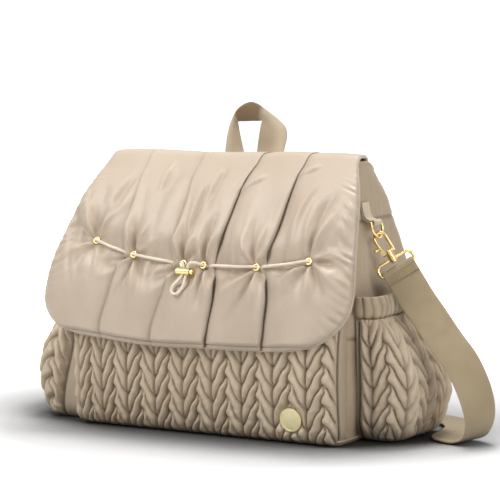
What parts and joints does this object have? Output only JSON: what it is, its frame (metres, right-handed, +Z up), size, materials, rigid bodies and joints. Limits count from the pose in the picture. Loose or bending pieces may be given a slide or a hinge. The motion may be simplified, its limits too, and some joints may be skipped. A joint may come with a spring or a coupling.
{
  "type": "diaper bag",
  "caption": "Soft nylon diaper bag with a puffed, gathered flap, quilted front and side pockets, haul loop, drawcord with push stopper and clip-on webbing strap",
  "frame": {"origin": "middle of the base panel, on the floor", "axes": "+Z up, front towards -Y, +X to the viewer's right when facing the front"},
  "size_m": [0.5705, 0.2652, 0.3514],
  "materials": {
    "puffed_nylon": "soft sheen",
    "quilted_nylon": "soft sheen",
    "nylon": "soft sheen",
    "board": "matte",
    "webbing": "twill",
    "cord": "smooth",
    "gold": "polished",
    "pale_gold": "satin"
  },
  "bodies": {
    "bag": {"base_panel": "nylon", "main_body": "nylon", "base_board": "board", "back_panel": "nylon", "front_pocket": "quilted_nylon", "side_pocket_left": "quilted_nylon", "side_pocket_right": "quilted_nylon", "elastic_band_left": "nylon", "elastic_band_right": "nylon", "d_ring_tab_left": "webbing", "d_ring_tab_right": "webbing", "strap_ring_left": "gold", "strap_ring_right": "gold", "strap_end_left": "webbing", "strap_end_right": "webbing", "strap": "webbing", "badge": "pale_gold"},
    "flap": {"flap": "puffed_nylon", "eyelets": "gold", "drawcord": "cord", "stopper_body": "gold"},
    "stopper_button": {"stopper_button": "gold"},
    "carry_handle": {"carry_handle": "webbing"},
    "d_ring_left": {"d_ring_left": "gold"},
    "hook_left": {"hook_body_left": "gold", "gate_pin_left": "gold"},
    "gate_left": {"hook_gate_left": "gold"},
    "d_ring_right": {"d_ring_right": "gold"},
    "hook_right": {"hook_body_right": "gold", "gate_pin_right": "gold"},
    "gate_right": {"hook_gate_right": "gold"}
  },
  "joints": [
    {"name": "flap_hinge", "type": "hinge", "parent": "bag", "child": "flap", "pos_m": [0, 0.033, 0.2856], "axis": [-1, 0, 0], "range_deg": [0, 55]},
    {"name": "button_press", "type": "slide", "parent": "flap", "child": "stopper_button", "axis": [1, 0, 0], "range_m": [-0.0018, 0], "stiffness_N_per_m": 300},
    {"name": "handle_fold", "type": "hinge", "parent": "bag", "child": "carry_handle", "pos_m": [-0.009, 0.0424, 0.2844], "axis": [-1, 0, 0], "range_deg": [0, 90], "stiffness_Nm_per_rad": 0.03},
    {"name": "d_ring_left_swing", "type": "hinge", "parent": "bag", "child": "d_ring_left", "pos_m": [-0.16902, -0.008, 0.2351], "axis": [0, 1, 0], "range_deg": [-2, 6]},
    {"name": "hook_left_swivel", "type": "hinge", "parent": "bag", "child": "hook_left", "pos_m": [-0.1885, -0.008, 0.19853], "axis": [0.5878, 0, 0.809], "range_deg": [-12, 12]},
    {"name": "gate_left_open", "type": "hinge", "parent": "hook_left", "child": "gate_left", "pos_m": [-0.17893, -0.01085, 0.20332], "axis": [-0.4045, -0.866, 0.2939], "range_deg": [0, 28], "stiffness_Nm_per_rad": 0.02},
    {"name": "d_ring_right_swing", "type": "hinge", "parent": "bag", "child": "d_ring_right", "pos_m": [0.16902, -0.008, 0.2351], "axis": [0, 1, 0], "range_deg": [-6, 2]},
    {"name": "hook_right_swivel", "type": "hinge", "parent": "bag", "child": "hook_right", "pos_m": [0.1885, -0.008, 0.19853], "axis": [-0.5878, 0, 0.809], "range_deg": [-12, 12]},
    {"name": "gate_right_open", "type": "hinge", "parent": "hook_right", "child": "gate_right", "pos_m": [0.17893, -0.01085, 0.20332], "axis": [-0.4045, 0.866, -0.2939], "range_deg": [0, 28], "stiffness_Nm_per_rad": 0.02}
  ]
}
